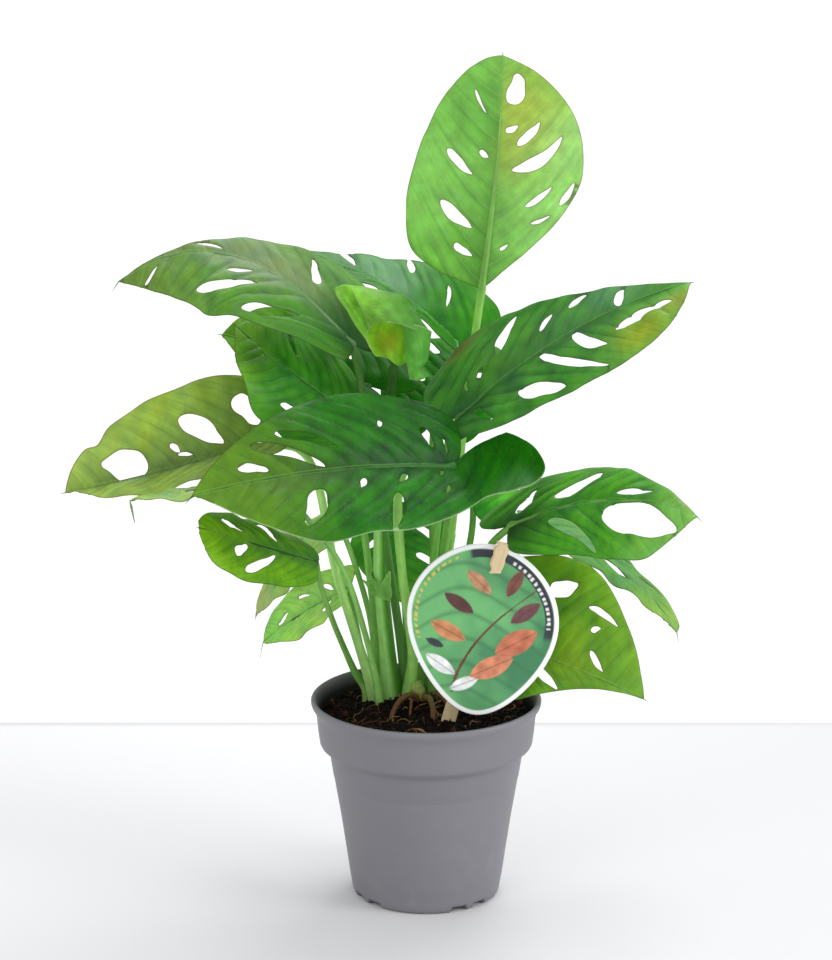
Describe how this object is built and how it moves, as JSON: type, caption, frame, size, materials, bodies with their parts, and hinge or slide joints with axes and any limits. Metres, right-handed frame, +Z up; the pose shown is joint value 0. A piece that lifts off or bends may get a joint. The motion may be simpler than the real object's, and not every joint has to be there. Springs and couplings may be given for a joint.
{
  "type": "potted monstera adansonii plant",
  "caption": "Young trailing house plant with holed, waxy oval leaves on long stalks, standing in a tapered plastic nursery pot with a plant label.",
  "frame": {"origin": "centre of the pot's flat base", "axes": "+Z up along the pot's axis, the front of the plant towards -Y, +X to the right"},
  "size_m": [0.3104, 0.249, 0.4371],
  "materials": {
    "pot_plastic": "moulded grey polypropylene, faintly grained, dull satin",
    "potting_soil": "loose dark peat with bark crumbs and fibres",
    "deep_leaf": "waxy satin leaf, deep green with sunken veins",
    "light_leaf": "waxy satin leaf, light yellow-green, raised pale veins below",
    "young_leaf": "soft glossy young leaf and smooth green stem",
    "dried_stem": "dry brown stem with a fibrous skin",
    "printed_card": "coated printed card, satin",
    "stick_wood": "raw pale birch strip with fine grain"
  },
  "bodies": {
    "root": {"pot": "pot_plastic", "soil": "potting_soil", "main_shoot": "young_leaf", "old_stem_stub": "dried_stem", "label_card": "printed_card", "label_stick": "stick_wood", "leaf_top": "light_leaf", "leaf_upper_right": "deep_leaf", "leaf_right": "deep_leaf", "leaf_lower_right": "light_leaf", "leaf_right_back": "deep_leaf", "leaf_front": "deep_leaf", "leaf_left": "light_leaf", "leaf_left_low": "deep_leaf", "leaf_upper_left": "deep_leaf", "leaf_back_top": "deep_leaf", "leaf_mid_left": "deep_leaf", "leaf_back_left": "deep_leaf", "leaf_lower_left": "deep_leaf", "leaf_low_left": "light_leaf", "leaf_low_left_back": "deep_leaf", "leaf_low_back": "deep_leaf", "leaf_back": "deep_leaf", "leaf_right_rear": "deep_leaf"}
  },
  "joints": []
}
